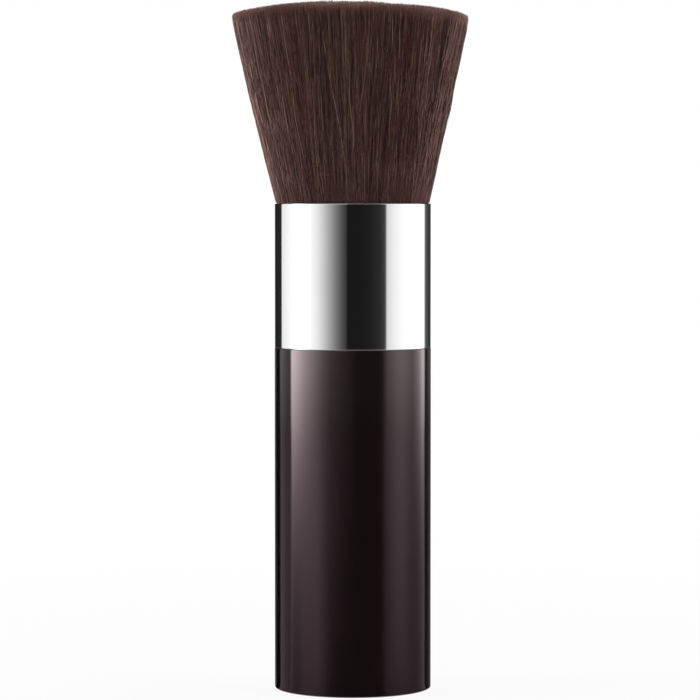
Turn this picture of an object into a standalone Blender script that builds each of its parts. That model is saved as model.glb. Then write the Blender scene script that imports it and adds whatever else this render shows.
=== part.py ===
"""A flat-top foundation brush, modelled as the separate pieces that it is assembled from.

It stands on its base: +Z is up, the origin is the middle of the base, and lengths are in metres.
From the floor up: a handle shell with a plug and a foam pad in its foot, a core that holds a
steel weight and whose neck carries the ferrule and the knot cup, and the tuft set in resin.
"""

import math

import bmesh
import bpy

MM = 0.001

# Fineness of round shapes
ROUND_STEPS = 48
ARC_STEPS = 3
SMOOTH_BELOW_DEGREES = 30

# Fits between pieces
SEAT_GAP = 0.3 * MM  # between two faces that bear on each other
GLUE_GAP = 0.3 * MM  # between a piece and the bore that it is glued into
TUFT_CLEARANCE = 0.3 * MM  # between the fibres and the metal round them

# Handle shell, a tube with a lip turned in at its foot
GRIP_RADIUS = 14.45 * MM
HANDLE_LENGTH = 63.2 * MM
SHELL_WALL = 1.6 * MM
BASE_FILLET = 0.7 * MM
SHELL_RIM_BREAK = 0.15 * MM
LIP_WIDTH = 1.25 * MM
LIP_THICKNESS = 1.4 * MM

# Base plug, a stepped disc that sits on the lip
PLUG_RECESS = 0.25 * MM
PLUG_FLANGE = 1.6 * MM
PLUG_CHAMFER = 0.4 * MM

# Foam pad under the core, and the steel weight, a rod in the core's bore
PAD_THICKNESS = 2.0 * MM
WEIGHT_RADIUS = 6.0 * MM
WEIGHT_LENGTH = 45.0 * MM
WEIGHT_CHAMFER = 0.8 * MM

# Core, a moulding that joins the handle to the ferrule
CORE_LAND = 6.0 * MM
CORE_RELIEF = 0.6 * MM
CORE_CHAMFER = 0.4 * MM
NECK_CHAMFER = 0.5 * MM
GLUE_GROOVES = 2
GROOVE_DEPTH = 0.5 * MM
GROOVE_WIDTH_SHARE = 0.42  # of the pitch of the grooves
VENT_RADIUS = 1.6 * MM

# Ferrule, a thin bright sleeve with a rounded mouth
FERRULE_STEP = 0.05 * MM
FERRULE_LENGTH = 26.3 * MM
FERRULE_WALL = 0.5 * MM
MOUTH_ROUND = 0.35 * MM
FERRULE_FOOT_BREAK = 0.15 * MM

# Knot cup, which holds the resin and the fibre roots
CUP_SETBACK = 5.8 * MM
CUP_HEIGHT = 9.2 * MM
CUP_WALL = 0.8 * MM
CUP_FLOOR = 1.2 * MM
CUP_RIM_BREAK = 0.2 * MM
KEY_HOLE_RADIUS = 3.0 * MM

# Resin, cast round the roots and keyed through the hole in the cup's floor
RESIN_THICKNESS = 3.0 * MM
SLICE_THICKNESS = 1.2 * MM
ROOT_DEPTH = 0.6 * MM

# Tuft: fibres in rings, each one three-sided with its flat side facing out
TUFT_LENGTH = 37.2 * MM
TUFT_RIM_RADIUS = 21.9 * MM
CROWN_HEIGHT = 1.5 * MM
TUFT_EDGE_ROUND = 1.6 * MM
LENGTH_SCATTER = 0.25 * MM
STRAND_RINGS = 12
STRANDS_IN_FIRST_RING = 6
STRAND_GAP = 0.25 * MM
GOLDEN_TURN = math.pi * (3 - math.sqrt(5))

# Radii that follow from the walls and the fits
SHELL_BORE = GRIP_RADIUS - SHELL_WALL
LIP_RADIUS = SHELL_BORE - LIP_WIDTH
FILL_RADIUS = SHELL_BORE - GLUE_GAP
FERRULE_RADIUS = GRIP_RADIUS - FERRULE_STEP
FERRULE_BORE = FERRULE_RADIUS - FERRULE_WALL
NECK_RADIUS = FERRULE_BORE - GLUE_GAP
CUP_BORE = NECK_RADIUS - CUP_WALL
RESIN_RADIUS = CUP_BORE - GLUE_GAP

# Heights that follow from the stack
PLUG_SEAT = LIP_THICKNESS + SEAT_GAP
PLUG_TOP = PLUG_SEAT + PLUG_FLANGE
PAD_FOOT = PLUG_TOP + SEAT_GAP
PAD_TOP = PAD_FOOT + PAD_THICKNESS
CORE_FOOT = PAD_TOP + SEAT_GAP
WEIGHT_TOP = CORE_FOOT + WEIGHT_LENGTH
SHOULDER = HANDLE_LENGTH + SEAT_GAP
MOUTH = SHOULDER + FERRULE_LENGTH
CUP_RIM = MOUTH - CUP_SETBACK
CUP_FOOT = CUP_RIM - CUP_HEIGHT
NECK_TOP = CUP_FOOT - SEAT_GAP
RESIN_FOOT = CUP_FOOT + CUP_FLOOR + SEAT_GAP
RESIN_TOP = RESIN_FOOT + RESIN_THICKNESS
SLICE_FOOT = RESIN_TOP + SEAT_GAP
SLICE_TOP = SLICE_FOOT + SLICE_THICKNESS
TUFT_APEX = MOUTH + TUFT_LENGTH
TUFT_WIDEST = TUFT_APEX - CROWN_HEIGHT - TUFT_EDGE_ROUND

# The tuft's outside is straight inside the ferrule and flares faster above its mouth
MOUTH_TUFT_RADIUS = FERRULE_BORE - TUFT_CLEARANCE
CUP_RIM_TUFT_RADIUS = CUP_BORE - TUFT_CLEARANCE
LOWER_FLARE = (MOUTH_TUFT_RADIUS - CUP_RIM_TUFT_RADIUS) / (MOUTH - CUP_RIM)
UPPER_FLARE = (TUFT_RIM_RADIUS - MOUTH_TUFT_RADIUS) / (TUFT_WIDEST - MOUTH)


def clear_scene():
    """Removes what a new scene starts with."""
    for obj in list(bpy.data.objects):
        bpy.data.objects.remove(obj)


def finish(name, colour, roughness, metallic):
    """A material with one colour, a roughness and a metallic value."""
    material = bpy.data.materials.new(name)
    material.use_nodes = True
    surface = material.node_tree.nodes["Principled BSDF"]
    surface.inputs["Base Color"].default_value = (*colour, 1)
    surface.inputs["Roughness"].default_value = roughness
    surface.inputs["Metallic"].default_value = metallic
    return material


def place(name, mesh, material):
    """Puts a mesh into the scene as a named piece, shaded smooth over its round faces."""
    mesh.materials.append(material)
    mesh.shade_smooth()
    mesh.set_sharp_from_angle(angle=math.radians(SMOOTH_BELOW_DEGREES))
    piece = bpy.data.objects.new(name, mesh)
    bpy.context.scene.collection.objects.link(piece)
    return piece


def turned(name, profile, material):
    """A piece turned about Z from a closed profile of (radius, height) points."""
    shape = bmesh.new()
    corners = [shape.verts.new((radius, 0, height)) for radius, height in profile]
    edges = [shape.edges.new((a, b)) for a, b in zip(corners, corners[1:] + corners[:1])]
    bmesh.ops.spin(
        shape,
        geom=corners + edges,
        cent=(0, 0, 0),
        axis=(0, 0, 1),
        angle=math.tau,
        steps=ROUND_STEPS,
        use_merge=True,
    )
    on_axis = [v for v in shape.verts if v.co.x == 0 and v.co.y == 0]
    bmesh.ops.remove_doubles(shape, verts=on_axis, dist=0)
    bmesh.ops.delete(shape, geom=[e for e in shape.edges if not e.link_faces], context="EDGES")
    bmesh.ops.recalc_face_normals(shape, faces=shape.faces)
    mesh = bpy.data.meshes.new(name)
    shape.to_mesh(mesh)
    shape.free()
    return place(name, mesh, material)


def arc(centre, radius, start, end):
    """Points of a profile along a round corner, from one angle to another in degrees."""
    points = []
    for step in range(ARC_STEPS + 1):
        angle = math.radians(start + (end - start) * step / ARC_STEPS)
        points.append((centre[0] + radius * math.cos(angle), centre[1] + radius * math.sin(angle)))
    return points


def handle_shell(material):
    """The outer tube of the handle, with a rounded foot and a lip that carries the base plug."""
    profile = [(LIP_RADIUS, 0)]
    profile += arc((GRIP_RADIUS - BASE_FILLET, BASE_FILLET), BASE_FILLET, -90, 0)
    profile += [
        (GRIP_RADIUS, HANDLE_LENGTH - SHELL_RIM_BREAK),
        (GRIP_RADIUS - SHELL_RIM_BREAK, HANDLE_LENGTH),
        (SHELL_BORE, HANDLE_LENGTH),
        (SHELL_BORE, LIP_THICKNESS),
        (LIP_RADIUS, LIP_THICKNESS),
    ]
    return turned("handle_shell", profile, material)


def base_plug(material):
    """The stepped disc that closes the foot. Its boss fills the lip's opening, a little recessed."""
    boss_radius = LIP_RADIUS - GLUE_GAP
    profile = [
        (0, PLUG_RECESS),
        (boss_radius - PLUG_CHAMFER, PLUG_RECESS),
        (boss_radius, PLUG_RECESS + PLUG_CHAMFER),
        (boss_radius, PLUG_SEAT),
        (FILL_RADIUS, PLUG_SEAT),
        (FILL_RADIUS, PLUG_TOP - PLUG_CHAMFER),
        (FILL_RADIUS - PLUG_CHAMFER, PLUG_TOP),
        (0, PLUG_TOP),
    ]
    return turned("base_plug", profile, material)


def weight_pad(material):
    """The foam disc squeezed between the base plug and the core, which stops the weight's rattle."""
    profile = [(0, PAD_FOOT), (FILL_RADIUS, PAD_FOOT), (FILL_RADIUS, PAD_TOP), (0, PAD_TOP)]
    return turned("weight_pad", profile, material)


def handle_weight(material):
    """The steel rod in the core's bore that gives the handle its heft."""
    profile = [
        (0, CORE_FOOT),
        (WEIGHT_RADIUS - WEIGHT_CHAMFER, CORE_FOOT),
        (WEIGHT_RADIUS, CORE_FOOT + WEIGHT_CHAMFER),
        (WEIGHT_RADIUS, WEIGHT_TOP - WEIGHT_CHAMFER),
        (WEIGHT_RADIUS - WEIGHT_CHAMFER, WEIGHT_TOP),
        (0, WEIGHT_TOP),
    ]
    return turned("handle_weight", profile, material)


def neck_side():
    """Profile points up the neck's outside, with its glue grooves evenly spaced."""
    pitch = (NECK_TOP - NECK_CHAMFER - SHOULDER) / (GLUE_GROOVES + 1)
    half_width = pitch * GROOVE_WIDTH_SHARE / 2
    points = []
    for groove in range(GLUE_GROOVES):
        middle = SHOULDER + pitch * (groove + 1)
        below, above = middle - half_width, middle + half_width
        points += [
            (NECK_RADIUS, below),
            (NECK_RADIUS - GROOVE_DEPTH, below),
            (NECK_RADIUS - GROOVE_DEPTH, above),
            (NECK_RADIUS, above),
        ]
    return points


def core_spigot(material):
    """The core: two glued lands inside the shell, a shoulder on its rim, the neck, and the bore."""
    bore = WEIGHT_RADIUS + GLUE_GAP
    bore_end = WEIGHT_TOP + SEAT_GAP
    waist = FILL_RADIUS - CORE_RELIEF
    profile = [
        (bore, CORE_FOOT),
        (FILL_RADIUS - CORE_CHAMFER, CORE_FOOT),
        (FILL_RADIUS, CORE_FOOT + CORE_CHAMFER),
        (FILL_RADIUS, CORE_FOOT + CORE_LAND),
        (waist, CORE_FOOT + CORE_LAND + CORE_RELIEF),
        (waist, SHOULDER - CORE_LAND - CORE_RELIEF),
        (FILL_RADIUS, SHOULDER - CORE_LAND),
        (FILL_RADIUS, SHOULDER),
        (NECK_RADIUS, SHOULDER),
        *neck_side(),
        (NECK_RADIUS, NECK_TOP - NECK_CHAMFER),
        (NECK_RADIUS - NECK_CHAMFER, NECK_TOP),
        (VENT_RADIUS, NECK_TOP),
        (VENT_RADIUS, bore_end),
        (bore, bore_end),
    ]
    return turned("core_spigot", profile, material)


def ferrule(material):
    """The bright sleeve that stands on the shell's rim and closes round the foot of the tuft."""
    profile = [
        (FERRULE_BORE, SHOULDER),
        (FERRULE_RADIUS - FERRULE_FOOT_BREAK, SHOULDER),
        (FERRULE_RADIUS, SHOULDER + FERRULE_FOOT_BREAK),
        *arc((FERRULE_RADIUS - MOUTH_ROUND, MOUTH - MOUTH_ROUND), MOUTH_ROUND, 0, 90),
        (FERRULE_BORE, MOUTH),
    ]
    return turned("ferrule", profile, material)


def knot_cup(material):
    """The cup that stands on the neck, with a hole in its floor that keys the resin."""
    profile = [
        (KEY_HOLE_RADIUS, CUP_FOOT),
        (NECK_RADIUS - CUP_RIM_BREAK, CUP_FOOT),
        (NECK_RADIUS, CUP_FOOT + CUP_RIM_BREAK),
        (NECK_RADIUS, CUP_RIM - CUP_RIM_BREAK),
        (NECK_RADIUS - CUP_RIM_BREAK, CUP_RIM),
        (CUP_BORE + CUP_RIM_BREAK, CUP_RIM),
        (CUP_BORE, CUP_RIM - CUP_RIM_BREAK),
        (CUP_BORE, CUP_FOOT + CUP_FLOOR),
        (KEY_HOLE_RADIUS, CUP_FOOT + CUP_FLOOR),
    ]
    return turned("knot_cup", profile, material)


def resin_plug(material):
    """The resin in the cup's foot, with a stub through the key hole."""
    stub_radius = KEY_HOLE_RADIUS - GLUE_GAP
    profile = [
        (0, CUP_FOOT),
        (stub_radius, CUP_FOOT),
        (stub_radius, RESIN_FOOT),
        (RESIN_RADIUS, RESIN_FOOT),
        (RESIN_RADIUS, RESIN_TOP),
        (0, RESIN_TOP),
    ]
    return turned("resin_plug", profile, material)


def tuft_radius(height):
    """Radius of the tuft's outside at a height."""
    flare = LOWER_FLARE if height < MOUTH else UPPER_FLARE
    return MOUTH_TUFT_RADIUS + flare * (height - MOUTH)


def tuft_top(share):
    """Height of the cut top at a share of the way from the axis to the rim."""
    past_round = max(0, TUFT_EDGE_ROUND - (1 - share) * TUFT_RIM_RADIUS)
    drop = TUFT_EDGE_ROUND - math.sqrt(TUFT_EDGE_ROUND**2 - past_round**2)
    return TUFT_APEX - CROWN_HEIGHT * share**2 - drop


def corner_share(ring, side):
    """Share of the tuft's radius for a strand's outer corners, side -1 and 1, or its inner one, 0."""
    edge = ring - 0.5 if side == 0 and ring else ring + 0.5
    return edge / (STRAND_RINGS + 0.5)


def strand_corner(ring, side, turn, height):
    """The place of one corner of a strand at a height. Ring 0 is the single strand on the axis."""
    outwards = -1 if side == 0 and ring else 1
    radius = corner_share(ring, side) * tuft_radius(height) - outwards * STRAND_GAP / 2
    if ring:
        half_cell = math.pi / (STRANDS_IN_FIRST_RING * ring)
        angle = turn + side * math.asin(math.sin(half_cell) - STRAND_GAP / 2 / radius)
    else:
        angle = side * math.tau / 3
    return (radius * math.cos(angle), radius * math.sin(angle), height)


def strand_sections(ring, turn, shortening):
    """The strand's corners at its root, at the ferrule's mouth and at its cut tip."""
    sides = (-1, 1, 0)
    levels = (
        [SLICE_TOP - ROOT_DEPTH for side in sides],
        [MOUTH for side in sides],
        [tuft_top(corner_share(ring, side)) - shortening for side in sides],
    )
    return [
        [strand_corner(ring, side, turn, height) for side, height in zip(sides, level)]
        for level in levels
    ]


def add_strand(shape, sections):
    """Joins a strand's sections into one closed three-sided prism."""
    rows = [[shape.verts.new(corner) for corner in section] for section in sections]
    for lower, upper in zip(rows, rows[1:]):
        for side in range(len(lower)):
            after = (side + 1) % len(lower)
            shape.faces.new((lower[side], lower[after], upper[after], upper[side]))
    shape.faces.new(reversed(rows[0]))
    shape.faces.new(rows[-1])


def strands():
    """Every strand as one helper mesh: a ring of strands round the last one, out to the rim."""
    shape = bmesh.new()
    for ring in range(STRAND_RINGS + 1):
        count = STRANDS_IN_FIRST_RING * ring or 1
        for number in range(count):
            turn = math.tau * number / count + GOLDEN_TURN * ring
            # Opposite strands are cut alike, so the tuft stays centred on the axis
            scatter = math.modf(GOLDEN_TURN * (ring + number % max(1, count // 2)))[0]
            add_strand(shape, strand_sections(ring, turn, LENGTH_SCATTER * scatter))
    bmesh.ops.recalc_face_normals(shape, faces=shape.faces)
    mesh = bpy.data.meshes.new("strands")
    shape.to_mesh(mesh)
    shape.free()
    helper = bpy.data.objects.new("strands", mesh)
    bpy.context.scene.collection.objects.link(helper)
    helper.hide_render = True
    helper.display_type = "WIRE"
    return helper


def bristle_tuft(material):
    """The fibres, fused to the slice of resin that their roots are cast in."""
    profile = [
        (0, SLICE_FOOT),
        (RESIN_RADIUS, SLICE_FOOT),
        (RESIN_RADIUS, SLICE_TOP),
        (0, SLICE_TOP),
    ]
    tuft = turned("bristle_tuft", profile, material)
    joined = tuft.modifiers.new("strands", "BOOLEAN")
    joined.operation = "UNION"
    joined.object = strands()
    return tuft


def main():
    """Builds the brush from its foot to its tuft."""
    clear_scene()
    lacquer = finish("aubergine_lacquer", (0.014, 0.008, 0.010), 0.12, 0.0)
    chrome = finish("chrome", (0.86, 0.86, 0.87), 0.05, 1.0)
    steel = finish("raw_steel", (0.42, 0.42, 0.44), 0.45, 1.0)
    foam = finish("grey_foam", (0.10, 0.10, 0.11), 0.95, 0.0)
    plastic = finish("black_plastic", (0.02, 0.02, 0.022), 0.5, 0.0)
    aluminium = finish("raw_aluminium", (0.72, 0.72, 0.73), 0.35, 1.0)
    resin = finish("amber_resin", (0.42, 0.30, 0.13), 0.3, 0.0)
    fibre = finish("brown_fibre", (0.045, 0.022, 0.017), 0.55, 0.0)
    handle_shell(lacquer)
    base_plug(lacquer)
    weight_pad(foam)
    handle_weight(steel)
    core_spigot(plastic)
    ferrule(chrome)
    knot_cup(aluminium)
    resin_plug(resin)
    bristle_tuft(fibre)


main()
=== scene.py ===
"""A flat-top foundation brush, dressed as it stands in a studio.

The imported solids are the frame, in metres: +Z is up and the origin is the middle of the base.
The handle, its base plug, the ferrule and the tuft are modelled afresh over their solids. The
pieces hidden inside keep their solids and get finishes. The tuft is made fibre by fibre.
"""

import logging
import math
from collections.abc import Callable
from dataclasses import dataclass, field
from enum import Enum

import bpy
import numpy as np
from bpy.types import Material, Node, NodeSocket, NodeTree, Object
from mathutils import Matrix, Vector


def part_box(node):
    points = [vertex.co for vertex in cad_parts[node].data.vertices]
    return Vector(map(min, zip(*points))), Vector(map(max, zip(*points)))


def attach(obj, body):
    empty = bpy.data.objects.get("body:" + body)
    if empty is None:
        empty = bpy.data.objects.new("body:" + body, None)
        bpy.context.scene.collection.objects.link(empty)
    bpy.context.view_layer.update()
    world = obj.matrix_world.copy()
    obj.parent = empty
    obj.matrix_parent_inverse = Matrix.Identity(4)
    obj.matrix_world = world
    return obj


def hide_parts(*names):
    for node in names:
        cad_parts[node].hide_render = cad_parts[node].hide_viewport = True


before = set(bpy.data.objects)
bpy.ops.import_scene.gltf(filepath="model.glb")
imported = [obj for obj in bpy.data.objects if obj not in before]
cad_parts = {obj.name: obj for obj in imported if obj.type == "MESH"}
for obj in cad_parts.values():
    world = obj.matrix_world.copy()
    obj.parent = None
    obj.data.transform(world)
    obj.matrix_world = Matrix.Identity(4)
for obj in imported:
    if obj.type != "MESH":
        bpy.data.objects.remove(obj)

LOG = logging.getLogger("brush")
MM = 0.001
ROOT_BODY = "root"
FIBRE_MAP = "OFBake"
ROUND_SIDES = 256
SAME_PLACE = 1e-6
LEVEL_NORMAL = 0.5
SHARP_ANGLE = math.radians(40)
NEAR_SIDE = 0.5
WHITE = (1, 1, 1, 1)

Triple = tuple[float, float, float]
Colour = Triple
Range = tuple[float, float]
Inputs = dict[str | int, object]

FIBRE_HUES: tuple[Colour, ...] = (
    (1.0, 1.0, 0.97),
    (1.0, 0.94, 1.12),
    (1.11, 0.96, 0.95),
    (0.96, 1.06, 0.88),
    (0.88, 1.00, 1.08),
)


class Signal:
    """A value in a shader, which Python's operators can work on."""

    def __init__(self, graph: "Graph", socket: NodeSocket) -> None:
        """Wraps the output socket that holds the value, in the graph that maths nodes go into."""
        self.graph = graph
        self.socket = socket

    def maths(self, operation: str, *others: "Signal | float", swapped: bool = False) -> "Signal":
        """The result of a Math node on this value and others, which come first where swapped."""
        operands = [*others, self] if swapped else [self, *others]
        return self.graph.signal("Math", dict(enumerate(operands)), operation=operation)

    def __add__(self, other: "Signal | float") -> "Signal":
        """The sum."""
        return self.maths("ADD", other)

    def __sub__(self, other: "Signal | float") -> "Signal":
        """The difference."""
        return self.maths("SUBTRACT", other)

    def __rsub__(self, other: float) -> "Signal":
        """The difference from a number."""
        return self.maths("SUBTRACT", other, swapped=True)

    def __mul__(self, other: "Signal | float") -> "Signal":
        """The product."""
        return self.maths("MULTIPLY", other)

    def __truediv__(self, other: "Signal | float") -> "Signal":
        """The quotient."""
        return self.maths("DIVIDE", other)

    def __pow__(self, other: "Signal | float") -> "Signal":
        """The power."""
        return self.maths("POWER", other)

    __radd__ = __add__
    __rmul__ = __mul__

    def between(self, low: float, high: float) -> "Signal":
        """A smooth step from 0 at low to 1 at high."""
        inputs = {0: self, 1: low, 2: high}
        return self.graph.signal("MapRange", inputs, interpolation_type="SMOOTHSTEP")


class Graph:
    """The node tree of one material, or of the world."""

    def __init__(self, tree: NodeTree) -> None:
        """Empties the tree that the graph fills."""
        self.tree = tree
        tree.nodes.clear()

    def node(self, kind: str, inputs: Inputs | None = None, **settings: object) -> Node:
        """Adds a node, sets it up and joins its inputs.

        Args:
            kind: The node's type, without the ShaderNode that it starts with.
            inputs: Values, signals or whole nodes for its input sockets, by name or number.
            settings: Its settings by name. A ramp's are its stops, as {place: colour}.

        Returns:
            The node.
        """
        node = self.tree.nodes.new(f"ShaderNode{kind}")
        stops = settings.pop("stops", {})
        for name, value in settings.items():
            setattr(node, name, value)
        if stops:
            elements = node.color_ramp.elements
            while len(elements) < len(stops):
                elements.new(0.5)
            for element, (place, colour) in zip(elements, stops.items()):
                element.position = place
                element.color = (*colour, 1)
        for name, value in (inputs or {}).items():
            if isinstance(value, Signal):
                self.tree.links.new(value.socket, node.inputs[name])
            elif isinstance(value, Node):
                self.tree.links.new(value.outputs[0], node.inputs[name])
            else:
                node.inputs[name].default_value = value
        return node

    def signal(self, kind: str, inputs: Inputs | None = None, output: str | int = 0,
               **settings: object) -> Signal:
        """Adds a node and returns one of its outputs, by name or number, as a signal."""
        return Signal(self, self.node(kind, inputs, **settings).outputs[output])

    def split(self, kind: str, value: Signal) -> list[Signal]:
        """The three parts of a vector or a colour, by the kind of node that splits it."""
        return [Signal(self, output) for output in self.node(kind, {0: value}).outputs]

    def noise(self, place: Signal, scale: float, detail: float = 2, roughness: float = 0.5) -> Signal:
        """Noise from 0 to 1 over coordinates in metres, with detail finer layers on the first."""
        inputs = {"Vector": place, "Scale": scale, "Detail": detail, "Roughness": roughness}
        return self.signal("TexNoise", inputs)

    def place(self, stretch: Triple = (1, 1, 1)) -> Signal:
        """Object coordinates, stretched by a factor along each axis."""
        here = self.signal("TexCoord", output="Object")
        return self.signal("Mapping", {"Vector": here, "Scale": stretch})

    def ramp(self, value: Signal, stops: dict[float, Colour]) -> Signal:
        """The colour that a value from 0 to 1 has among colours by place."""
        return self.signal("ValToRGB", {0: value}, stops=stops)

    def blend(self, share: Signal | float, first: Signal | Colour, second: Signal | Colour,
              mode: str = "MIX") -> Signal:
        """A mix of two colours.

        Args:
            share: How much of the second colour there is.
            first: The first colour.
            second: The second colour.
            mode: How they mix.

        Returns:
            The mixed colour.
        """
        colours = [(*c, 1) if isinstance(c, tuple) else c for c in (first, second)]
        inputs = {0: share, 6: colours[0], 7: colours[1]}
        return self.signal("Mix", inputs, output=2, data_type="RGBA", blend_type=mode)


@dataclass(frozen=True)
class Finish:
    """A finish with one Principled surface, whose look each kind of finish adds to."""

    name: str
    colour: Colour
    roughness: float
    metallic: float = 0
    fixed: Inputs = field(default_factory=dict)

    def material(self) -> Material:
        """Makes the material.

        Returns:
            The material, ready to be assigned.
        """
        made = bpy.data.materials.new(self.name)
        made.use_nodes = True
        graph = Graph(made.node_tree)
        inputs = {"Metallic": self.metallic, **self.fixed, **self.detail(graph)}
        surface = graph.node("BsdfPrincipled", inputs)
        graph.node("OutputMaterial", {"Surface": surface})
        made.diffuse_color = (*self.colour, 1)
        return made

    def detail(self, graph: Graph) -> Inputs:
        """The inputs that each kind of finish varies over the surface, by socket name."""
        return {"Base Color": (*self.colour, 1), "Roughness": self.roughness}


@dataclass(frozen=True)
class Plating(Finish):
    """Mirror-bright plating with the faint haze and hairlines that handling leaves."""

    haze: float = 0.03
    haze_scale: float = 90
    haze_range: Range = (0.45, 0.8)
    hairline: float = 0.015
    hairline_scale: float = 2600
    hairline_range: Range = (0.62, 0.8)
    hairline_stretch: Triple = (0.05, 0.05, 1)
    worn: float = 0.97

    def detail(self, graph: Graph) -> Inputs:
        """Roughness that rises a little in hazy patches and along fine rings round the sleeve.

        Args:
            graph: The material's graph.

        Returns:
            The inputs by socket name.
        """
        patches = graph.noise(graph.place(), self.haze_scale, detail=3)
        rings = graph.noise(graph.place(self.hairline_stretch), self.hairline_scale, detail=1)
        roughness = self.roughness + patches.between(*self.haze_range) * self.haze
        roughness = roughness + rings.between(*self.hairline_range) * self.hairline
        tone = graph.blend(patches, self.colour, tuple(c * self.worn for c in self.colour))
        return {"Base Color": tone, "Roughness": roughness}


@dataclass(frozen=True)
class Lacquer(Finish):
    """A deep, glossy lacquer with a hint of cloud in its colour."""

    cloud: Colour = (0.02, 0.01, 0.014)
    cloud_scale: float = 60
    cloud_range: Range = (0.3, 0.7)
    haze: float = 0.03
    haze_scale: float = 420

    def detail(self, graph: Graph) -> Inputs:
        """Colour that clouds slowly, and a gloss that is a little uneven.

        Args:
            graph: The material's graph.

        Returns:
            The inputs by socket name.
        """
        clouds = graph.noise(graph.place(), self.cloud_scale, detail=3)
        patches = graph.noise(graph.place(), self.haze_scale)
        tone = graph.blend(clouds.between(*self.cloud_range), self.colour, self.cloud)
        return {"Base Color": tone, "Roughness": self.roughness + patches * self.haze}


@dataclass(frozen=True)
class Grained(Finish):
    """A plain material with a fine grain: turned metal, moulded plastic, foam or resin."""

    second: Colour = (0, 0, 0)
    scale: float = 900
    stretch: Triple = (1, 1, 1)
    depth: float = 0.02 * MM
    uneven: float = 0.12

    def detail(self, graph: Graph) -> Inputs:
        """Two tones, a roughness and a relief that follow the same grain.

        Args:
            graph: The material's graph.

        Returns:
            The inputs by socket name.
        """
        grain = graph.noise(graph.place(self.stretch), self.scale, detail=4, roughness=0.6)
        tone = graph.blend(grain, self.colour, self.second)
        relief = graph.signal("Bump", {"Height": grain, "Distance": self.depth})
        roughness = self.roughness + grain * self.uneven
        return {"Base Color": tone, "Roughness": roughness, "Normal": relief}


@dataclass(frozen=True)
class Fibre(Finish):
    """Fine synthetic fibre. Along U lie the hues, each from its dark tone to its pale one.

    V runs from a fibre's root to its tip.
    """

    tones: dict[float, Colour] = field(default_factory=dict)
    hue_gap: float = 0.01
    # root_shade is painted shade: how far the fibres are darkened towards the root, by the ferrule's
    # mouth.
    root_shade: float = 0.86
    root_tone: Colour = (0.1, 0.043, 0.037)
    root_share: float = 0.7
    root_reach: float = 0.3
    tip_tone: Colour = (0.32, 0.16, 0.135)
    tip_reach: float = 0.045
    tip_share: float = 0.6
    tip_roughness: float = 0.1

    def detail(self, graph: Graph) -> Inputs:
        """A tone for each fibre, darkened by painted shade towards the root and paler at the cut tip.

        Args:
            graph: The material's graph.

        Returns:
            The inputs by socket name.
        """
        chart = graph.signal("UVMap", uv_map=FIBRE_MAP)
        place, along, _ = graph.split("SeparateXYZ", chart)
        stops = {
            (number + tone * (1 - self.hue_gap)) / len(FIBRE_HUES):
                tuple(part * factor for part, factor in zip(colour, hue))
            for number, hue in enumerate(FIBRE_HUES)
            for tone, colour in self.tones.items()
        }
        near_root = 1 - along.between(0, self.root_reach)
        colour = graph.blend(near_root * self.root_share, graph.ramp(place, stops), self.root_tone)
        # Painted shade: a grey factor that darkens the fibres towards the root.
        shade = 1 - near_root * (1 - self.root_shade)
        shade = graph.signal("CombineColor", {0: shade, 1: shade, 2: shade})
        colour = graph.blend(1, colour, shade, "MULTIPLY")
        near_tip = along.between(1 - self.tip_reach, 1)
        colour = graph.blend(near_tip * self.tip_share, colour, self.tip_tone)
        return {"Base Color": colour, "Roughness": self.roughness + along * self.tip_roughness}


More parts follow.
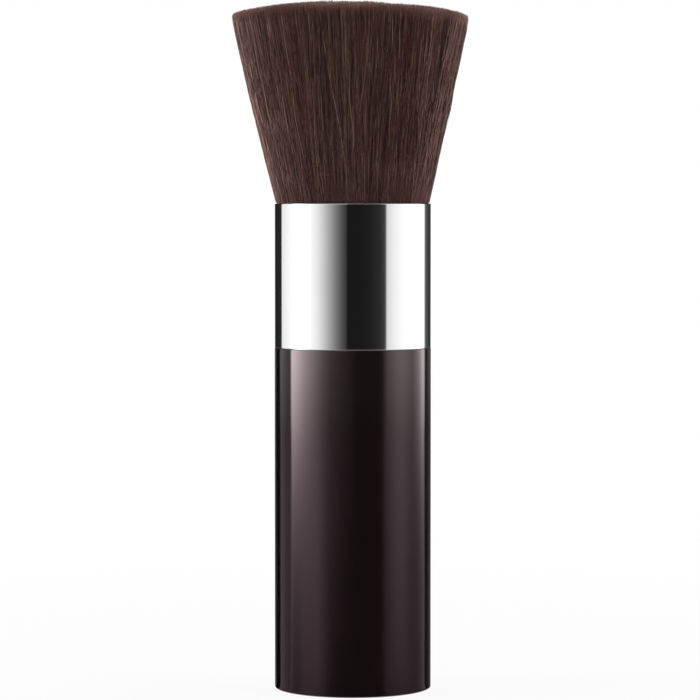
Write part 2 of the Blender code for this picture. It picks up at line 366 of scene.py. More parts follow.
class Bench:
    """Shapes one mesh with the steps of a modeller's bench. Faces and edges are picked by place."""

    def __init__(self, name: str, radius: float, low: float, high: float) -> None:
        """Starts from an upright cylinder, closed at both ends.

        Args:
            name: The piece's name.
            radius: The cylinder's radius.
            low: The height of its foot.
            high: The height of its top.
        """
        bpy.ops.mesh.primitive_cylinder_add(vertices=ROUND_SIDES, radius=radius, depth=high - low,
                                            location=(0, 0, (low + high) / 2))
        bpy.ops.object.transform_apply()
        self.piece = bpy.context.object
        self.piece.name = self.piece.data.name = name

    def pick(self, faces: Callable[[Vector, Vector], bool] | None = None,
             rings: Callable[[float, float], bool] | None = None) -> "Bench":
        """Selects faces or rings of edges and stays in edit mode.

        Args:
            faces: A test on a face's middle and normal.
            rings: A test on the radius and height of both ends of a level edge.

        Returns:
            This bench.
        """
        bpy.ops.object.mode_set(mode="EDIT")
        bpy.ops.mesh.select_all(action="DESELECT")
        bpy.ops.mesh.select_mode(type="FACE" if faces else "EDGE")
        bpy.ops.object.mode_set(mode="OBJECT")
        mesh = self.piece.data
        if faces:
            for face in mesh.polygons:
                face.select = faces(face.center, face.normal)
        else:
            for edge in mesh.edges:
                ends = [mesh.vertices[v].co for v in edge.vertices]
                level = abs(ends[0].z - ends[1].z) < SAME_PLACE
                spans = [math.hypot(end.x, end.y) for end in ends]
                same = abs(spans[0] - spans[1]) < SAME_PLACE
                edge.select = level and same and rings(spans[0], ends[0].z)
        bpy.ops.object.mode_set(mode="EDIT")
        return self

    def ring(self, radius: float, low: float, high: float | None = None) -> "Bench":
        """Selects the rings of edges at a radius, at one height or from that to a higher one."""
        high = low if high is None else high
        return self.pick(rings=lambda r, z: abs(r - radius) < SAME_PLACE
                         and low - SAME_PLACE < z < high + SAME_PLACE)

    def cap(self, height: float) -> "Bench":
        """Selects the round face on the axis that looks up or down at a height."""
        return self.pick(faces=lambda middle, normal: abs(middle.z - height) < SAME_PLACE
                         and abs(normal.z) > LEVEL_NORMAL and middle.xy.length < SAME_PLACE)

    def inset(self, width: float) -> "Bench":
        """Insets the picked faces."""
        bpy.ops.mesh.inset(thickness=width, use_even_offset=True)
        return self

    def extrude(self, rise: float) -> "Bench":
        """Extrudes the picked faces up, or down where the rise is negative."""
        bpy.ops.mesh.extrude_region_move(TRANSFORM_OT_translate={"value": (0, 0, rise)})
        return self

    def widen(self, factor: float) -> "Bench":
        """Scales the picked faces about the axis."""
        bpy.ops.transform.resize(value=(factor, factor, 1), center_override=(0, 0, 0))
        return self

    def remove(self) -> "Bench":
        """Deletes the picked faces."""
        bpy.ops.mesh.delete(type="FACE")
        return self

    def bridge(self) -> "Bench":
        """Joins two picked rings of edges with faces."""
        bpy.ops.mesh.bridge_edge_loops()
        return self

    def bevel(self, width: float, segments: int) -> "Bench":
        """Rounds the picked edges."""
        bpy.ops.mesh.bevel(offset=width, segments=segments, affect="EDGES", clamp_overlap=False)
        return self

    def cut(self, *heights: float) -> "Bench":
        """Cuts rings through the whole mesh, which hold its shading straight beside a rounding.

        Args:
            heights: Where to cut.

        Returns:
            This bench.
        """
        for height in heights:
            bpy.ops.object.mode_set(mode="EDIT")
            bpy.ops.mesh.select_all(action="SELECT")
            bpy.ops.mesh.bisect(plane_co=(0, 0, height), plane_no=(0, 0, 1), threshold=SAME_PLACE)
        return self

    def done(self) -> Object:
        """Leaves edit mode with the faces pointing out and the round ones shaded smooth.

        Returns:
            The finished piece.
        """
        bpy.ops.object.mode_set(mode="EDIT")
        bpy.ops.mesh.select_all(action="SELECT")
        bpy.ops.mesh.normals_make_consistent()
        bpy.ops.object.mode_set(mode="OBJECT")
        bpy.ops.object.shade_smooth_by_angle(angle=SHARP_ANGLE)
        return self.piece


def dress(piece: Object, finish: Finish, slot: str, *nodes: str) -> None:
    """Finishes a piece and fixes it to the brush in place of its solids.

    Args:
        piece: The finished mesh.
        finish: Its finish.
        slot: The name of a record's material slot, which is not used.
        nodes: The solids that it stands for.
    """
    piece.data.materials.clear()
    piece.data.materials.append(finish.material())
    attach(piece, ROOT_BODY)
    if nodes:
        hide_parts(*nodes)
    LOG.info("%s: %d faces", piece.name, len(piece.data.polygons))


@dataclass
class Ferrule:
    """The bright sleeve between the handle and the tuft."""

    wall: float = 0.5 * MM
    mouth_round: float = 0.16 * MM
    foot_round: float = 0.09 * MM
    seam: float = 0.035 * MM
    inner_break: float = 0.1 * MM
    round_segments: int = 6
    break_segments: int = 2
    hold: float = 0.08 * MM
    finish: Finish = Plating("ferrule_chrome", (0.925, 0.925, 0.93), 0.045, metallic=1)

    def build(self) -> None:
        """Models the sleeve and its rounded rims."""
        low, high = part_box("ferrule")
        radius, mouth = high.x, high.z
        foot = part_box("handle_shell")[1].z + self.seam
        bench = Bench("ferrule_sleeve", radius, foot, mouth)
        for height in (mouth, foot):
            bench.cap(height).inset(self.wall).remove()
        bore = radius - self.wall
        bench.ring(bore, foot, mouth).bridge()
        bench.ring(radius, mouth).bevel(self.mouth_round, self.round_segments)
        bench.ring(radius, foot).bevel(self.foot_round, self.round_segments)
        bench.ring(bore, mouth).bevel(self.inner_break, self.break_segments)
        bench.cut(mouth - self.mouth_round - self.hold, foot + self.foot_round + self.hold)
        dress(bench.done(), self.finish, "ferrule_chrome", "ferrule")


@dataclass
class Handle:
    """The lacquered tube with its turned-in foot, and the plug set into the foot."""

    wall: float = 1.6 * MM
    foot_round: float = 0.4 * MM
    rim_round: float = 0.1 * MM
    lip_width: float = 2.85 * MM
    lip_height: float = 1.4 * MM
    lip_break: float = 0.15 * MM
    depth_shown: float = 3 * MM
    round_segments: int = 8
    break_segments: int = 3
    hold: float = 0.1 * MM
    boss_gap: float = 0.3 * MM
    seat_gap: float = 0.05 * MM
    plug_chamfer: float = 0.4 * MM
    plug_segments: tuple[int, int] = (4, 2)
    dish_inset: float = 2.2 * MM
    dish_depth: float = 0.12 * MM
    finish: Finish = Lacquer(
        "aubergine_lacquer", (0.0088, 0.0052, 0.0054), 0.05, cloud=(0.0126, 0.0073, 0.008),
        fixed={"IOR": 1.8, "Specular Tint": (1, 0.79, 0.81, 1)},
    )
    plug_finish: Finish = Lacquer(
        "base_lacquer", (0.011, 0.006, 0.007), 0.2,
        fixed={"IOR": 1.5, "Coat Weight": 0.3, "Coat Roughness": 0.1, "Coat IOR": 1.5},
    )

    def build(self) -> None:
        """Models the tube and the plug."""
        self.shell()
        self.plug()

    def shell(self) -> None:
        """The tube, closed over its wall at both ends."""
        low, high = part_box("handle_shell")
        radius, foot, rim = high.x, low.z, high.z
        bore = radius - self.wall
        bench = Bench("handle_tube", radius, foot, rim)
        bench.cap(foot).inset(self.lip_width).extrude(self.lip_height).extrude(0)
        bench.widen(bore / (radius - self.lip_width))
        bench.extrude(rim - self.depth_shown - foot - self.lip_height)
        bench.cap(rim).inset(self.wall).extrude(-self.depth_shown / 2)
        bench.cap(rim - self.depth_shown / 2).remove()
        bench.cap(rim - self.depth_shown).remove()
        bench.ring(bore, rim - self.depth_shown, rim - self.depth_shown / 2).bridge()
        bench.ring(radius, foot).bevel(self.foot_round, self.round_segments)
        bench.ring(radius, rim).bevel(self.rim_round, self.round_segments)
        bench.ring(radius - self.lip_width, foot).bevel(self.lip_break, self.break_segments)
        bench.cut(rim - self.rim_round - self.hold, foot + self.foot_round + self.hold)
        dress(bench.done(), self.finish, "handle_lacquer", "handle_shell")

    def plug(self) -> None:
        """The stepped disc in the foot, with a shallow dish in its face."""
        low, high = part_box("base_plug")
        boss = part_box("handle_shell")[1].x - self.lip_width - self.boss_gap
        step = low.z + self.lip_height + self.seat_gap
        bench = Bench("foot_plug", high.x, step, high.z)
        bench.cap(step).inset(high.x - boss).extrude(low.z - step)
        bench.cap(low.z).inset(self.dish_inset).inset(self.dish_depth).extrude(self.dish_depth)
        bench.ring(boss, low.z).bevel(self.plug_chamfer, self.plug_segments[0])
        bench.ring(high.x, high.z).bevel(self.plug_chamfer, self.plug_segments[1])
        dress(bench.done(), self.plug_finish, "base_lacquer", "base_plug")


@dataclass
class Strands:
    """Thin three-sided tubes, closed at both ends, along lines of points.

    Attributes:
        centre: The points, as (ring, strand, axis).
        width: The half widths, as (ring, strand).
        tone: Each strand's place along U, from 0 to 1.
    """

    centre: np.ndarray
    width: np.ndarray
    tone: np.ndarray
    sides: int = 3
    tone_width: float = 0.006
    cap_share: float = 0.1

    def one(self) -> tuple[list[tuple[int, ...]], list[Range]]:
        """The faces of one tube, and where each of their corners lies round and along it.

        Returns:
            The faces, and a place for each corner as (sides round, rings up).
        """
        rings = len(self.centre)
        faces, chart = [], []
        for ring in range(rings - 1):
            for side in range(self.sides):
                after = (side + 1) % self.sides
                low, high = ring * self.sides, (ring + 1) * self.sides
                faces.append((low + side, low + after, high + after, high + side))
                chart += [(side, ring), (side + 1, ring), (side + 1, ring + 1), (side, ring + 1)]
        last = (rings - 1) * self.sides
        faces += [(2, 1, 0), (last, last + 1, last + 2)]
        chart += [(2, 0), (1, self.cap_share), (0, 0)]
        chart += [(0, rings - 1), (1, rings - 1 - self.cap_share), (2, rings - 1)]
        return faces, chart

    def points(self) -> np.ndarray:
        """The corners of every ring, strand by strand.

        Returns:
            The corners, as (corner, axis).
        """
        along = np.gradient(self.centre, axis=0)
        along /= np.linalg.norm(along, axis=-1, keepdims=True)
        out = self.centre * (1, 1, 0)
        out /= np.maximum(np.linalg.norm(out, axis=-1, keepdims=True), SAME_PLACE)
        across = np.cross(along, out)
        across /= np.maximum(np.linalg.norm(across, axis=-1, keepdims=True), SAME_PLACE)
        out = np.cross(across, along)
        reach = self.width[..., None]
        corners = [
            self.centre + reach * (math.cos(turn) * out + math.sin(turn) * across)
            for turn in (math.tau * side / self.sides for side in range(self.sides))
        ]
        return np.stack(corners, axis=2).transpose(1, 0, 2, 3).reshape(-1, 3)

    def piece(self, name: str) -> Object:
        """Makes the tubes one mesh.

        Args:
            name: The piece's name.

        Returns:
            The piece, with its chart.
        """
        rings, count, _ = self.centre.shape
        faces, chart = self.one()
        loops = np.concatenate(faces) + (np.arange(count) * rings * self.sides)[:, None]
        sizes = np.tile([len(face) for face in faces], count)
        around, up = np.array(chart).T
        tones = self.tone[:, None] + around * (self.tone_width / self.sides)
        places = np.stack([tones, np.broadcast_to(up / (rings - 1), tones.shape)], axis=-1)
        points = self.points()
        mesh = bpy.data.meshes.new(name)
        mesh.vertices.add(len(points))
        mesh.vertices.foreach_set("co", points.astype(np.float32).ravel())
        mesh.loops.add(loops.size)
        mesh.loops.foreach_set("vertex_index", loops.astype(np.int32).ravel())
        mesh.polygons.add(len(sizes))
        mesh.polygons.foreach_set("loop_start", (np.cumsum(sizes) - sizes).astype(np.int32))
        mesh.polygons.foreach_set("use_smooth", np.ones(len(sizes), bool))
        mesh.update(calc_edges=True)
        mesh.uv_layers.new(name=FIBRE_MAP).data.foreach_set("uv", places.astype(np.float32).ravel())
        mesh.validate()
        piece = bpy.data.objects.new(name, mesh)
        bpy.context.scene.collection.objects.link(piece)
        return piece


@dataclass(frozen=True)
class Layer:
    """One layer of fibres.

    Attributes:
        name: What its pieces' names start with.
        pieces: How many pieces it is made in.
        count: How many fibres each piece has.
        shares: Its inner and outer radius as shares of the tuft's.
        rings: How many rings of corners each fibre has.
        half_width: Half the usual thickness of its fibres.
        tone: Its mean tone.
        spread: How far its fibres' tones spread.
        length: How long its fibres are, or None where they root in the ferrule.
        stray: How far its fibres drift and weave, as a share of the usual.
        uneven: How unevenly its fibres end, as a share of the usual.
    """

    name: str
    pieces: int
    count: int
    shares: Range
    rings: int
    half_width: float
    tone: float
    spread: float
    length: float | None = None
    stray: float = 1
    uneven: float = 1


@dataclass
class Tuft:
    """The flared tuft: long fibres on the outside, short ones to the cut top, over a heart darkened
    with painted shade.
    """

    bulge_radius: float = 14.15 * MM
    flare: float = 0.2262
    pinch_depth: float = 0.3 * MM
    pinch_rise: Range = (-0.1 * MM, 0.3 * MM)
    top_gap: float = 0.35 * MM
    crown: float = 2.2 * MM
    crown_curve: float = 3.2
    crown_ease: float = 0.35
    crown_turn: float = 1.5
    edge_round: float = 0.75 * MM
    root_depth: float = 3.0 * MM
    lean: float = 0.47 * MM
    lean_curve: float = 0.8
    top_tilt: float = 0.006
    seed: int = 5
    locks: int = 150
    lock_lift: float = 0.05 * MM
    lock_drift: float = 0.5 * MM
    lock_step: float = 0.12 * MM
    lock_tone: float = 0.04
    lock_hue_share: float = 0.4
    drift: float = 1.5 * MM
    weave: float = 0.1 * MM
    dive: float = 0.24 * MM
    waves: Range = (4, 24)
    least_reach: float = 0.25
    thickness: Range = (0.5, 1.5)
    tip_scatter: float = 0.3 * MM
    tip_lift: float = 0.5
    tip_taper: float = 0.35
    palest: float = 0.95
    heart_depth: float = 3.5 * MM
    heart_share: float = 0.9
    heart_steps: int = 5
    layers: tuple[Layer, ...] = (
        Layer("tuft_outer", 6, 1500, (0.91, 0.995), 22, 0.052 * MM, 0.21, 0.235, uneven=1.3),
        Layer("tuft_stray", 1, 1200, (0.97, 0.998), 22, 0.045 * MM, 0.45, 0.25, stray=1.5, uneven=2.6),
        Layer("tuft_top", 3, 10000, (0.0, 0.97), 2, 0.07 * MM, 0.48, 0.28, length=5 * MM),
    )
    finish: Finish = Fibre(
        "tuft_fibre", (0.12, 0.06, 0.046), 0.4,
        fixed={"IOR": 1.5, "Specular IOR Level": 0.5, "Specular Tint": (1, 0.83, 0.79, 1)},
        tones={
            0.0: (0.0485, 0.0197, 0.0146),
            0.2: (0.0905, 0.0375, 0.0322),
            0.4: (0.158, 0.0720, 0.0523),
            0.7: (0.268, 0.140, 0.105),
            1.0: (0.53, 0.345, 0.290),
        },
    )
    # The heart's dark colour is painted shade for the shaded fibres deep in the tuft.
    heart_shade_finish: Finish = Grained(
        "tuft_shade_heart", (0.040, 0.017, 0.013), 0.8, second=(0.06, 0.028, 0.021), scale=3000
    )

    def __post_init__(self) -> None:
        """Reads the mouth and the top from the solids, and sorts the fibres into locks."""
        self.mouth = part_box("ferrule")[1].z
        self.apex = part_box("bristle_tuft")[1].z - self.top_gap
        self.rim_radius = self.radius(np.array(self.apex - self.crown - self.edge_round))
        draw = np.random.default_rng(self.seed)
        self.lock_turns = np.sort(draw.uniform(0, math.tau, self.locks))
        self.lock_offsets = draw.normal(0, 1, (3, self.locks))
        self.lock_hues = draw.integers(len(FIBRE_HUES), size=self.locks)

    def radius(self, height: np.ndarray) -> np.ndarray:
        """The tuft's outer radius at a height.

        Args:
            height: Heights in metres.

        Returns:
            The radii.
        """
        rise = height - self.mouth
        above = np.maximum(rise, 0)
        low, high = self.pinch_rise
        pinch = np.clip((high - rise) / (high - low), 0, 1)
        return self.bulge_radius + self.flare * above - pinch * self.pinch_depth

    def top(self, share: np.ndarray, turn: np.ndarray) -> np.ndarray:
        """The height of the cut top, which falls a little less to the front and back.

        Args:
            share: The share of the way from the axis to the rim.
            turn: The angle from the camera's side.

        Returns:
            The heights.
        """
        past = np.clip(self.edge_round - (1 - share) * self.rim_radius, 0, self.edge_round)
        drop = self.edge_round - np.sqrt(self.edge_round**2 - past**2)
        side = (1 - self.crown_ease * np.cos(turn) ** 2) ** self.crown_turn
        crown = self.crown * side * share**self.crown_curve
        return self.apex - crown - drop - self.top_tilt * self.rim_radius * (1 + share * np.sin(turn))

    def build(self) -> None:
        """Makes each layer of fibres and the heart under them."""
        for layer in self.layers:
            for number in range(1, layer.pieces + 1):
                draw = np.random.default_rng([number, layer.count, layer.rings])
                dress(self.fibres(layer, draw).piece(f"{layer.name}_{number}"), self.finish,
                      "tuft_fibre", "bristle_tuft")
        dress(self.heart(), self.heart_shade_finish, "tuft_fibre", "bristle_tuft")

    def fibres(self, layer: Layer, draw: np.random.Generator) -> Strands:
        """Grows a piece of one layer.

        Args:
            layer: The layer.
            draw: Where the chances come from.

        Returns:
            The fibres.
        """
        count, scatter = layer.count, self.tip_scatter
        share = np.sqrt(draw.uniform(*np.square(layer.shares), count))
        turn = draw.uniform(0, math.tau, count)
        lock = np.searchsorted(self.lock_turns, turn) % self.locks
        lift, drift, shade = self.lock_offsets[:, lock]
        tip = self.top(share, turn)
        short = np.abs(draw.normal(0, scatter * layer.uneven, count))
        tip -= short - scatter * (layer.uneven - 1) * self.tip_lift - self.lock_step * drift
        height = self.heights(layer, tip)
        rise = np.clip((height - self.mouth) / (self.apex - self.mouth), 0, 1)
        free = np.sin(rise * math.pi)
        radius = self.radius(height) * share + self.lock_lift * lift * free
        radius += self.dive * free * self.wave(rise, draw)
        slide = self.lock_drift * drift + self.drift * draw.normal(0, layer.stray, count)
        slide = slide * (rise - 0.5) + self.weave * layer.stray * free * self.wave(rise, draw)
        angle = turn + slide / np.maximum(radius, self.bulge_radius * self.least_reach)
        lean = self.lean * rise**self.lean_curve
        centre = [radius * np.sin(angle) - lean, -radius * np.cos(angle), height]
        width = layer.half_width * draw.uniform(*self.thickness, count) * np.ones_like(height)
        width[-1] *= self.tip_taper
        tone = layer.tone + self.lock_tone * shade + draw.normal(0, layer.spread, count)
        own = draw.integers(len(FIBRE_HUES), size=count)
        hue = np.where(draw.uniform(size=count) < self.lock_hue_share, self.lock_hues[lock], own)
        place = (hue + np.clip(tone, 0, self.palest)) / len(FIBRE_HUES)
        return Strands(np.stack(centre, axis=-1), width, place)

    def heights(self, layer: Layer, tip: np.ndarray) -> np.ndarray:
        """How high each fibre's rings of corners are. A long fibre bends at the ferrule's mouth.

        Args:
            layer: The fibres' layer.
            tip: How high each fibre ends.

        Returns:
            The heights, as (ring, fibre).
        """
        root = tip - layer.length if layer.length else self.mouth - self.root_depth
        height = root + (tip - root) * np.linspace(0, 1, layer.rings)[:, None]
        if not layer.length:
            low, high = self.mouth + np.array(self.pinch_rise)
            height[1] = low
            height[2:] = high + (tip - high) * np.linspace(0, 1, layer.rings - 2)[:, None]
        return height

    def wave(self, rise: np.ndarray, draw: np.random.Generator) -> np.ndarray:
        """A wave from -1 to 1 up the tuft, with a length and a phase of its own in each fibre."""
        count = rise.shape[1]
        return np.sin(draw.uniform(0, math.tau, count) + rise * draw.uniform(*self.waves, count))

    def heart(self) -> Object:
        """The body under the fibres, which stops light that passes between them. Its dark colour is
        painted shade for the shaded fibres deep in the tuft.

        Returns:
            The mesh object.
        """
        foot = self.mouth - self.root_depth
        last = float(self.radius(np.array(foot))) * self.heart_share
        bench = Bench("tuft_shade_heart", last, foot, self.mouth)
        rim = self.apex - self.crown - self.edge_round
        rise = (rim - self.heart_depth - self.mouth) / self.heart_steps
        for step in range(self.heart_steps):
            below = self.mouth + step * rise
            bench.cap(below).extrude(rise)
            wide = float(self.radius(np.array(below + rise))) * self.heart_share
            bench.widen(wide / last)
            last = wide
        return bench.done()


@dataclass
class Inside:
    """The pieces hidden in the handle and the ferrule, which keep their solids."""

    finishes: dict[str, Finish] = field(default_factory=lambda: {
        "weight_pad": Grained("pad_foam", (0.07, 0.07, 0.075), 0.85, second=(0.14, 0.14, 0.15),
                              scale=2500, depth=0.15 * MM),
        "handle_weight": Grained("weight_steel", (0.38, 0.38, 0.40), 0.3, 1.0, second=(0.5, 0.5, 0.51),
                                 scale=900, stretch=(0.03, 0.03, 3)),
        "core_spigot": Grained("core_plastic", (0.018, 0.018, 0.020), 0.4, second=(0.028, 0.028, 0.031),
                               scale=1800),
        "knot_cup": Grained("cup_aluminium", (0.66, 0.66, 0.67), 0.25, 1.0, second=(0.78, 0.78, 0.79),
                            scale=900, stretch=(0.05, 0.05, 2)),
        "resin_plug": Grained("root_resin", (0.34, 0.22, 0.08), 0.15, second=(0.46, 0.33, 0.15),
                              scale=250),
    })

    def build(self) -> None:
        """Gives each hidden solid its finish."""
        for name, finish in self.finishes.items():
            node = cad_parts[name]
            node.data.materials.clear()
            node.data.materials.append(finish.material())
            LOG.info("%s: finished as %s", name, finish.name)


class Side(Enum):
    """Which way a studio wall lies from the brush, as degrees round it from the camera's side."""

    LEFT = (-133, -9)
    RIGHT = (50, 133)
    FRONT = (-9, 50)
    REAR = (133, 227)


@dataclass(frozen=True)
class Surround:
    """The strips of light and dark that one finish mirrors round the brush and on the table.

    Attributes:
        strips: By degrees round the brush from the camera's side, the brightness of the wall, of
            what it throws on the table, and of the table at the brush's foot.
        fades: How slowly the table and the wall's image in it fade towards the foot.
        climb: How much the wall brightens on the way up to climb_height.
        tint: The table's colour at the wall.
        foot_tint: The table's colour at the brush's foot.
    """

    strips: dict[float, Triple]
    fades: Range
    climb: float = 0
    climb_height: float = 0.028
    tint: Colour = (1, 1, 1)
    foot_tint: Colour = (1, 1, 1)


CHROME_FOOT = (0.4, 0.3)
CHROME_WALL = {
    -180: 0.015, -131: 0.02, -128: 0.87, -101: 1.1, -99: 4.3, -88: 4.3, -76: 2.2, -64: 1.05,
    -54: 0.9, -44: 0.64, -34: 0.39, -25: 0.21, -16: 0.09, -9: 0.035, -8: 0.01,
    10: 0.01, 25: 0.014, 40: 0.025, 47: 0.05, 49: 0.1, 51: 0.74, 62: 0.92, 100: 1.3,
    125: 1.6, 131: 0.9, 134: 0.12, 150: 0.04,
}
CHROME_SURROUND = Surround(
    {degrees: (glow, min(glow, 1), CHROME_FOOT[0] + CHROME_FOOT[1] * min(glow, 1))
     for degrees, glow in CHROME_WALL.items()},
    fades=(0.7, 1.5),
)
LACQUER_SURROUND = Surround({
    -180: (0.06, 0.06, 0.08), -156: (0.08, 0.1, 0.1), -152: (0, 0, 0),
    -141: (0, 0, 0), -136: (0.03, 0.03, 0.015), -133: (0.3, 0.37, 0.28),
    -129: (0.3, 0.36, 0.28), -106: (0.2, 0.25, 0.18), -104: (0.4, 0.6, 0.3),
    -101: (2.9, 0.6, 0.2), -95: (2.85, 0.45, 0.15), -86: (2.45, 0.6, 0.15),
    -77: (1.87, 0.85, 0.2), -55: (0.88, 0.98, 0.2), -44: (0.49, 0.6, 0.15),
    -34: (0.25, 0.3, 0.04), -18: (0.12, 0.13, 0.0), -5: (0.065, 0.06, 0.0), 5: (0.01, 0.01, 0.0),
    38: (0.01, 0.01, 0.0), 44: (0.045, 0.055, 0.02), 52: (0.37, 0.45, 0.1),
    68: (0.68, 0.82, 0.13), 78: (0.71, 0.82, 0.14), 98: (0.41, 0.38, 0.12),
    112: (0.74, 0.22, 0.14), 126: (1.6, 0.15, 0.27), 130: (1.05, 0.4, 0.3), 133: (0.1, 0.2, 0.12),
    136: (0.01, 0.01, 0.0), 145: (0.075, 0.03, 0.04), 160: (0.09, 0.11, 0.12),
}, fades=(0.6, 1.9), climb=0.93, tint=(1, 0.93, 1), foot_tint=(1.04, 0.84, 0.97))


@dataclass
class Studio:
    """A pale floor and backdrop, two large soft boxes, dark flags between them, and the camera.

    The lacquer has a surround of its own, which the other pieces don't see, because its edges
    would otherwise mirror the soft boxes far more brightly than they do.
    """

    lacquered: tuple[Object, ...]
    wall_distance: float = 0.75
    wall_height: float = 0.55
    wall_steps: int = 96
    flag_height: float = 1.6
    grip_radius: float = 0.0145
    mirror_steps: int = 3
    table_height: float = 0.0002
    layer_gap: float = 0.0001
    ceiling_height: float = 1.1
    ceiling_width: float = 1.4
    ceiling_strength: float = 0.82
    eye: Triple = (-0.00052, -0.62, 0.0898)
    tilt: float = 2.502
    lens: float = 172.37
    clip_start: float = 0.01
    ambient: float = 0.104
    side_gains: dict[Side, float] = field(default_factory=lambda: {Side.LEFT: 1.85, Side.RIGHT: 3.2})
    lacquer_light: float = 0.45
    paper: Colour = (0.9, 0.9, 0.9)
    floor_glow: Range = (0.9, 1.0)
    floor_fade: Range = (0.04, 0.3)
    floor_radius: float = 3.0
    floor_sides: int = 96

    def build(self) -> None:
        """Sets up the whole studio."""
        self.world()
        self.floor()
        for side in Side:
            self.wall(side)
        self.table("table_sheen", CHROME_SURROUND, self.table_height)
        self.lacquer_wall()
        self.table("lacquer_table", LACQUER_SURROUND, self.table_height + self.layer_gap)
        self.ceiling()
        self.camera()

    def world(self) -> None:
        """White to the eye and in reflections, and a soft even light for everything else."""
        world = bpy.data.worlds.new("studio")
        bpy.context.scene.world = world
        world.use_nodes = True
        graph = Graph(world.node_tree)
        light = graph.node("Background", {0: WHITE, 1: self.ambient})
        white = graph.node("Background", {0: WHITE, 1: 1.0})
        mix = graph.node("MixShader", {0: self.seen(graph), 1: light, 2: white})
        graph.node("OutputWorld", {0: mix})

    def seen(self, graph: Graph) -> Signal:
        """1 for a ray from the camera, a mirror or glass, and 0 for a ray that carries light."""
        rays = [graph.signal("LightPath", output=f"Is {kind} Ray")
                for kind in ("Camera", "Glossy", "Transmission")]
        return rays[0].maths("MAXIMUM", rays[1]).maths("MAXIMUM", rays[2])

    def floor(self) -> None:
        """A white floor that fades into the white backdrop and keeps the brush's shadow."""
        bpy.ops.mesh.primitive_circle_add(vertices=self.floor_sides, radius=self.floor_radius,
                                          fill_type="NGON")
        floor = bpy.context.object
        floor.name = "floor"
        graph = self.surface(floor)
        far = graph.signal("VectorMath", {0: graph.place()}, "Value", operation="LENGTH")
        near, open_floor = self.floor_glow
        glow = self.seen(graph) * (near + far.between(*self.floor_fade) * (open_floor - near))
        paper = graph.node("BsdfDiffuse", {"Color": (*self.paper, 1)})
        white = graph.node("Emission", {"Color": WHITE, "Strength": 1.0})
        mix = graph.node("MixShader", {0: glow, 1: paper, 2: white})
        graph.node("OutputMaterial", {0: mix})

    def surface(self, piece: Object) -> Graph:
        """Gives a piece of the studio an empty material.

        Args:
            piece: The piece.

        Returns:
            The material's graph.
        """
        material = bpy.data.materials.new(piece.name)
        material.use_nodes = True
        piece.data.materials.append(material)
        return Graph(material.node_tree)

    def glow(self, graph: Graph, turn: Signal, surround: Surround) -> list[Signal]:
        """How brightly a surround glows in each direction round the brush.

        Args:
            graph: The material's graph.
            turn: The direction, in turns from the far side.
            surround: The surround.

        Returns:
            The glow of the wall, the table and the table at the brush's foot.
        """
        top = max(max(strip) for strip in surround.strips.values())
        stops = {NEAR_SIDE + degrees / 360: tuple(glow / top for glow in strip)
                 for degrees, strip in surround.strips.items()}
        return [part * top for part in graph.split("SeparateColor", graph.ramp(turn, stops))]

    def polar(self, graph: Graph) -> tuple[Signal, Signal, Signal]:
        """The direction, in turns from the far side, the distance from the axis and the height."""
        x, y, z = graph.split("SeparateXYZ", graph.place())
        return x.maths("ARCTAN2", y * -1) / math.tau + NEAR_SIDE, (x * x + y * y) ** 0.5, z

    def mirrored(self, turn: Signal, reach: Signal) -> Signal:
        """The direction in which the round grip mirrors a point, which is found step by step.

        Args:
            turn: The point's direction from the axis, in turns from the far side.
            reach: Its distance from the axis.

        Returns:
            Its direction from the place on the grip that mirrors it to the camera, in turns.
        """
        aside = 0
        for _ in range(self.mirror_steps):
            across = ((turn + aside - NEAR_SIDE) * math.pi).maths("SINE")
            aside = (across / reach * self.grip_radius).maths("ARCSINE") / math.tau
        return turn + aside

    def curved(self, name: str, side: Range, first: Range, last: Range) -> Object:
        """A sheet that is swept round the brush from one angle to another.

        Args:
            name: The sheet's name.
            side: The first and last angle in degrees.
            first: Distance and height of one edge.
            last: Distance and height of the other edge.

        Returns:
            The sheet, unseen by the camera and casting no shadow.
        """
        count = self.wall_steps + 1
        points = [
            (reach * math.sin(turn), -reach * math.cos(turn), height)
            for reach, height in (first, last)
            for turn in np.radians(np.linspace(*side, count))
        ]
        faces = [(n, n + 1, count + n + 1, count + n) for n in range(self.wall_steps)]
        mesh = bpy.data.meshes.new(name)
        mesh.from_pydata(points, [], faces)
        sheet = bpy.data.objects.new(name, mesh)
        bpy.context.scene.collection.objects.link(sheet)
        sheet.visible_camera = sheet.visible_shadow = False
        return sheet

    def shine(self, sheet: Object, graph: Graph, strength: Signal, for_lacquer: bool,
              tint: Signal | tuple = WHITE) -> None:
        """Makes a sheet glow for the lacquered pieces alone, or for all the others.

        Args:
            sheet: The sheet.
            graph: Its material's graph.
            strength: How brightly it glows.
            for_lacquer: Whether it glows for the lacquered pieces. Then the others see through it.
            tint: The colour of its glow.
        """
        lit = graph.node("Emission", {"Color": tint, "Strength": strength})
        if for_lacquer:
            clear = graph.node("BsdfTransparent")
            lit = graph.node("AddShader", {0: lit, 1: clear})
        graph.node("OutputMaterial", {0: lit})
        linked = bpy.data.collections.new(f"{sheet.name}_lacquer")
        for piece in self.lacquered:
            linked.objects.link(piece)
        sheet.light_linking.receiver_collection = linked
        for member in linked.collection_objects:
            member.light_linking.link_state = "INCLUDE" if for_lacquer else "EXCLUDE"

    def wall(self, side: Side) -> None:
        """One curved wall round the brush: a soft box, or a dark flag between two of them.

        Args:
            side: Which wall.
        """
        reach = self.wall_distance
        lit = side in (Side.LEFT, Side.RIGHT)
        height = self.wall_height if lit else self.flag_height
        wall = self.curved(f"wall_{side.name.lower()}", side.value, (reach, 0.0), (reach, height))
        wall.visible_diffuse = lit
        graph = self.surface(wall)
        gain = self.side_gains.get(side, 1)
        strength = self.glow(graph, self.polar(graph)[0], CHROME_SURROUND)[0]
        strength = strength * (gain + self.seen(graph) * (1 - gain))
        self.shine(wall, graph, strength, for_lacquer=False)

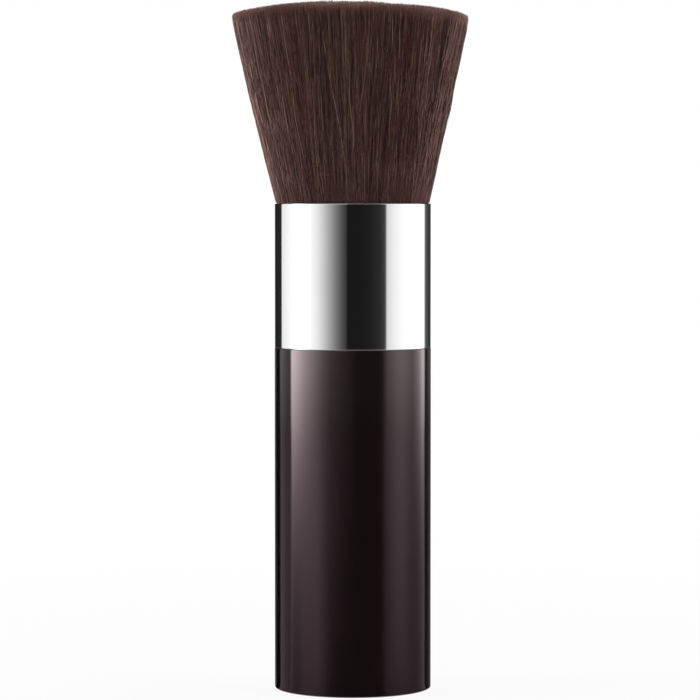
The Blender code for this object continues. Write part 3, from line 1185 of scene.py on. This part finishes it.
    def lacquer_wall(self) -> None:
        """The wall all round that only the lacquer mirrors."""
        reach = self.wall_distance - self.layer_gap
        wall = self.curved("lacquer_wall", (-180, 180), (reach, 0.0), (reach, self.flag_height))
        graph = self.surface(wall)
        turn, _, height = self.polar(graph)
        climb = height.maths("MINIMUM", LACQUER_SURROUND.climb_height)
        climb = climb * (LACQUER_SURROUND.climb / LACQUER_SURROUND.climb_height) + 1
        strength = self.glow(graph, turn, LACQUER_SURROUND)[0] * climb - self.lacquer_light
        strength = strength * self.seen(graph) + self.lacquer_light
        self.shine(wall, graph, strength, for_lacquer=True)

    def table(self, name: str, surround: Surround, height: float) -> None:
        """What a finish sees of the table: bright near the soft boxes, dim near the brush.

        Args:
            name: The sheet's name.
            surround: The surround whose strips the table takes on.
            height: The sheet's height.
        """
        table = self.curved(name, (-180, 180), (0.0, height), (self.wall_distance, height))
        table.visible_diffuse = False
        graph = self.surface(table)
        turn, reach, _ = self.polar(graph)
        wall, far, foot = self.glow(graph, self.mirrored(turn, reach), surround)
        slow, fast = ((reach / self.wall_distance) ** fade for fade in surround.fades)
        strength = foot + (far - foot) * slow + (wall - far) * fast
        tint = graph.blend(slow, surround.foot_tint, surround.tint)
        self.shine(table, graph, strength, surround is LACQUER_SURROUND, tint)

    def ceiling(self) -> None:
        """A wide soft light overhead."""
        bpy.ops.mesh.primitive_plane_add(size=self.ceiling_width, location=(0, 0, self.ceiling_height))
        ceiling = bpy.context.object
        ceiling.name = "ceiling_light"
        ceiling.visible_camera = False
        graph = self.surface(ceiling)
        light = graph.node("Emission", {"Color": WHITE, "Strength": self.ceiling_strength})
        graph.node("OutputMaterial", {0: light})

    def camera(self) -> None:
        """The camera, level with the ferrule's mouth and tilted down a little."""
        camera = bpy.data.objects.new("camera", bpy.data.cameras.new("camera"))
        bpy.context.scene.collection.objects.link(camera)
        camera.location = self.eye
        camera.rotation_euler = (math.radians(90 - self.tilt), 0, 0)
        camera.data.lens = self.lens
        camera.data.clip_start = self.clip_start
        bpy.context.scene.camera = camera


def main() -> None:
    """Builds the brush and its studio, and logs how many faces each dressed piece has."""
    logging.basicConfig(level=logging.INFO, format="%(message)s")
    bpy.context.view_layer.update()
    for assembly in (Ferrule(), Handle(), Tuft(), Inside()):
        assembly.build()
    Studio(lacquered=(bpy.data.objects["handle_tube"], bpy.data.objects["foot_plug"])).build()
    bpy.context.scene.view_settings.view_transform = "Standard"
    bpy.context.view_layer.update()


if __name__ == "__main__":
    main()
